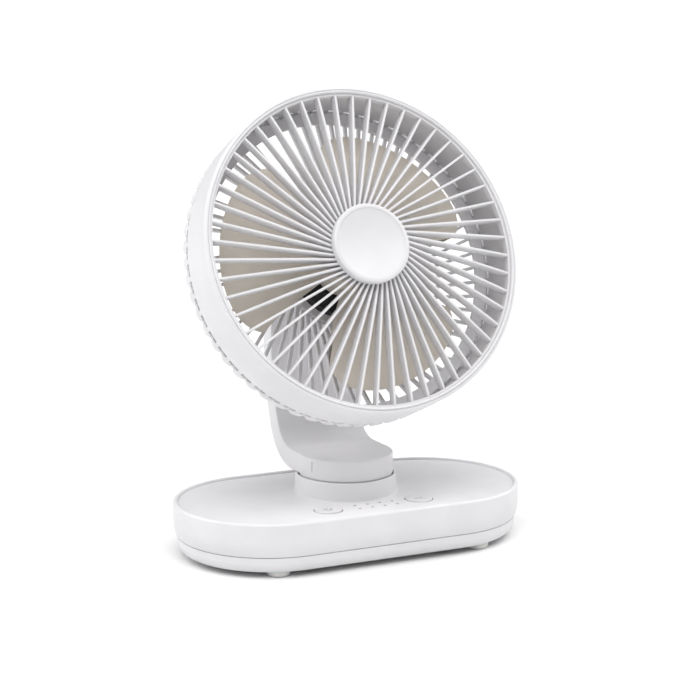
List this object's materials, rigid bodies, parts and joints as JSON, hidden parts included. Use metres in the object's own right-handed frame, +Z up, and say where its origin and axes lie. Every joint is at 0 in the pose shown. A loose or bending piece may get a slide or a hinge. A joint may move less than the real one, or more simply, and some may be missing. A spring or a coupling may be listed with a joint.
{
  "type": "desk fan",
  "caption": "Rechargeable table fan: a round grilled head on a curved arm that tilts and swings on a low rounded base with touch keys and indicator lights.",
  "frame": {"origin": "on the resting surface, under the middle of the base", "axes": "+Z up, the front of the fan faces -Y, the long side of the base runs along X"},
  "size_m": [0.188, 0.112, 0.2349],
  "materials": {
    "white_shell": "fine satin moulded ABS",
    "panel_plastic": "satin moulded ABS",
    "arm_cover_plastic": "satin moulded ABS",
    "foot_rubber": "soft clear-grey silicone",
    "button_plastic": "satin moulded ABS",
    "switch_plastic": "moulded nylon",
    "board": "green solder mask",
    "light_guide": "clear frosted acrylic",
    "led_body": "white LED package",
    "cell_sleeve": "shrink sleeve over a steel can",
    "black_plastic": "moulded black nylon",
    "nickel_strip": "spot-welded nickel",
    "ballast_iron": "rough cast iron",
    "screw_steel": "zinc-plated steel",
    "socket_steel": "stamped stainless steel",
    "motor_steel": "drawn steel",
    "gear_plastic": "natural acetal",
    "lead_sleeve": "black PVC sleeve",
    "friction_fibre": "pressed friction fibre",
    "bearing_brass": "turned brass",
    "stator_iron": "laminated electrical steel",
    "copper_wire": "enamelled copper wire",
    "impeller_plastic": "translucent off-white polypropylene",
    "magnet": "moulded ferrite ring"
  },
  "bodies": {
    "base": {"bottom_shell": "white_shell", "top_shell": "white_shell", "top_panel": "panel_plastic", "foot_front_left": "foot_rubber", "foot_front_right": "foot_rubber", "foot_rear_left": "foot_rubber", "foot_rear_right": "foot_rubber", "base_screws": "screw_steel", "tact_switches": "switch_plastic", "control_board": "board", "light_guides": "light_guide", "led_chips": "led_body", "battery_cells": "cell_sleeve", "battery_cradle": "black_plastic", "battery_tabs": "nickel_strip", "ballast_plate": "ballast_iron", "ballast_screws": "screw_steel", "charge_board": "board", "usb_c_socket": "socket_steel", "usb_c_tongue": "black_plastic", "swing_motor": "motor_steel", "slip_washer": "gear_plastic"},
    "power_key": {"power_button": "button_plastic", "power_switch_plunger": "switch_plastic"},
    "swing_key": {"swing_button": "button_plastic", "swing_switch_plunger": "switch_plastic"},
    "swing_drive": {"drive_pinion": "gear_plastic", "swing_motor_shaft": "motor_steel"},
    "arm": {"arm_shell": "white_shell", "arm_cover": "arm_cover_plastic", "arm_lead": "lead_sleeve", "tilt_pin": "motor_steel", "tilt_washers": "friction_fibre", "tilt_cap_left": "white_shell", "tilt_cap_right": "white_shell", "turntable_spindle": "gear_plastic", "turntable_gear": "gear_plastic", "spindle_clip": "screw_steel", "spindle_screws": "screw_steel"},
    "head": {"motor_housing": "white_shell", "motor_plate": "black_plastic", "motor_board": "board", "bearing_tube": "bearing_brass", "motor_bearings": "motor_steel", "stator_core": "stator_iron", "stator_coils": "copper_wire", "rear_cage": "white_shell", "front_ring": "white_shell", "front_grille": "white_shell", "centre_cap": "white_shell", "cage_screws": "screw_steel"},
    "rotor": {"impeller": "impeller_plastic", "rotor_can": "motor_steel", "rotor_magnet": "magnet", "motor_shaft": "motor_steel", "impeller_nut": "screw_steel"}
  },
  "joints": [
    {"name": "power_press", "type": "slide", "parent": "base", "child": "power_key", "axis": [0, 0, -1], "range_m": [0, 0.0006], "stiffness_N_per_m": 1200, "springref_m": -0.0006},
    {"name": "swing_press", "type": "slide", "parent": "base", "child": "swing_key", "axis": [0, 0, -1], "range_m": [0, 0.0006], "stiffness_N_per_m": 1200, "springref_m": -0.0006},
    {"name": "head_swing", "type": "hinge", "parent": "base", "child": "arm", "pos_m": [0, 0.0035, 0.036], "axis": [0, 0, 1], "range_deg": [-45, 45]},
    {"name": "pinion_spin", "type": "hinge", "parent": "base", "child": "swing_drive", "pos_m": [-0.02605, 0.0035, 0.023], "axis": [0, 0, 1], "range_deg": [-151, 151]},
    {"name": "head_tilt", "type": "hinge", "parent": "arm", "child": "head", "pos_m": [0, 0.04607, 0.12853], "axis": [-1, 0, 0], "range_deg": [-14, 66]},
    {"name": "fan_spin", "type": "hinge", "parent": "head", "child": "rotor", "pos_m": [0, 0.00039, 0.14886], "axis": [0, -0.9135, 0.4067], "continuous": true}
  ],
  "couplings": [
    {"joint": "pinion_spin", "follows": "head_swing", "ratio": -3.3333}
  ]
}
